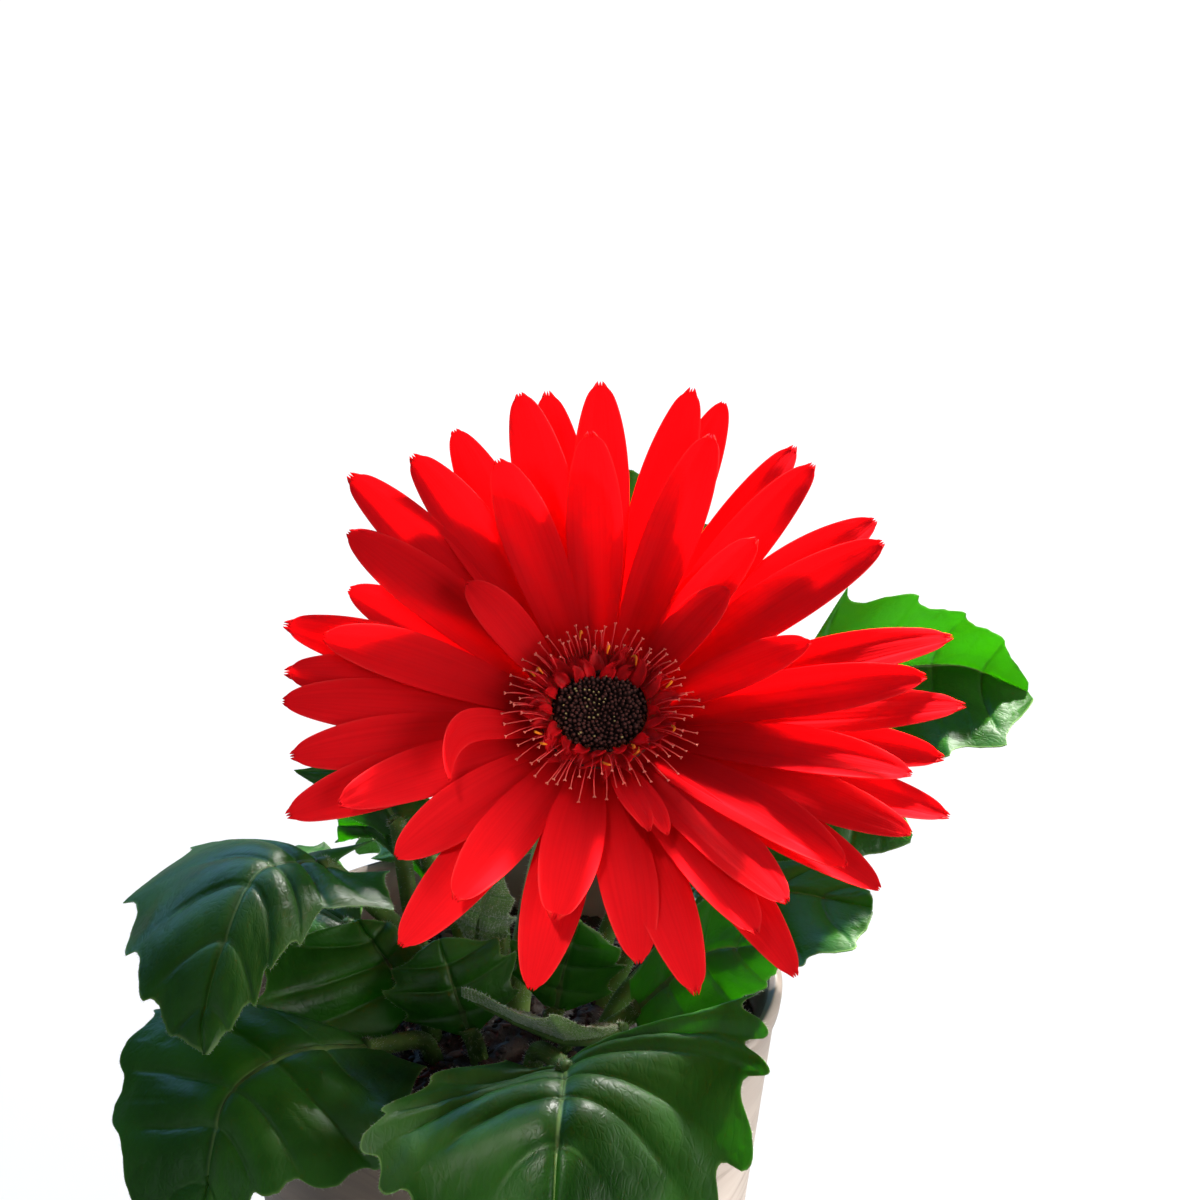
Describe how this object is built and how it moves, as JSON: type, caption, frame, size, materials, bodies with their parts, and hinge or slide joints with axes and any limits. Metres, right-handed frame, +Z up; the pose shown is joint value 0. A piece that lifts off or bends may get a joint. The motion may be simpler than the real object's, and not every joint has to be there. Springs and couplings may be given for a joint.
{
  "type": "potted gerbera",
  "caption": "Red gerbera daisy in a tapered wood-look pot: one large flower head on its stalk above a rosette of glossy toothed leaves.",
  "frame": {"origin": "centre of the pot's flat underside", "axes": "+Z up out of the pot, -Y to the front, the side that the flower head faces, +X to the right as the front is seen"},
  "size_m": [0.1861, 0.1913, 0.2349],
  "materials": {
    "pot": "wood-look printed surface, satin",
    "soil": "dark moist potting mix, crumbly and matt",
    "stalk": "soft green stalk and bracts with fine pale hairs",
    "ray": "scarlet petal, thin and lit through, velvety",
    "trans": "deep red short florets with pink styles",
    "disc": "dark brown closed florets",
    "leaf": "glossy dark green upper side, pale veins and fine marginal hairs",
    "young_leaf": "grey-green felted young leaf"
  },
  "bodies": {
    "root": {"pot": "pot", "soil": "soil", "flower_stalk": "stalk", "ray_florets": "ray", "trans_florets": "trans", "disc_florets": "disc", "leaf_front": "leaf", "leaf_front_left": "leaf", "leaf_left_high": "leaf", "leaf_left_low": "leaf", "leaf_front_right": "leaf", "leaf_right_low": "leaf", "leaf_right_mid": "leaf", "leaf_right_high": "leaf", "leaf_back_left": "leaf", "leaf_back_left_high": "leaf", "leaf_back": "leaf", "leaf_back_right": "leaf", "leaf_left_back": "leaf", "leaf_right_back": "leaf", "leaf_centre_low": "leaf", "leaf_centre_right": "leaf", "leaf_back_high": "leaf", "leaf_front_young": "young_leaf", "leaf_centre_young": "young_leaf"}
  },
  "joints": []
}
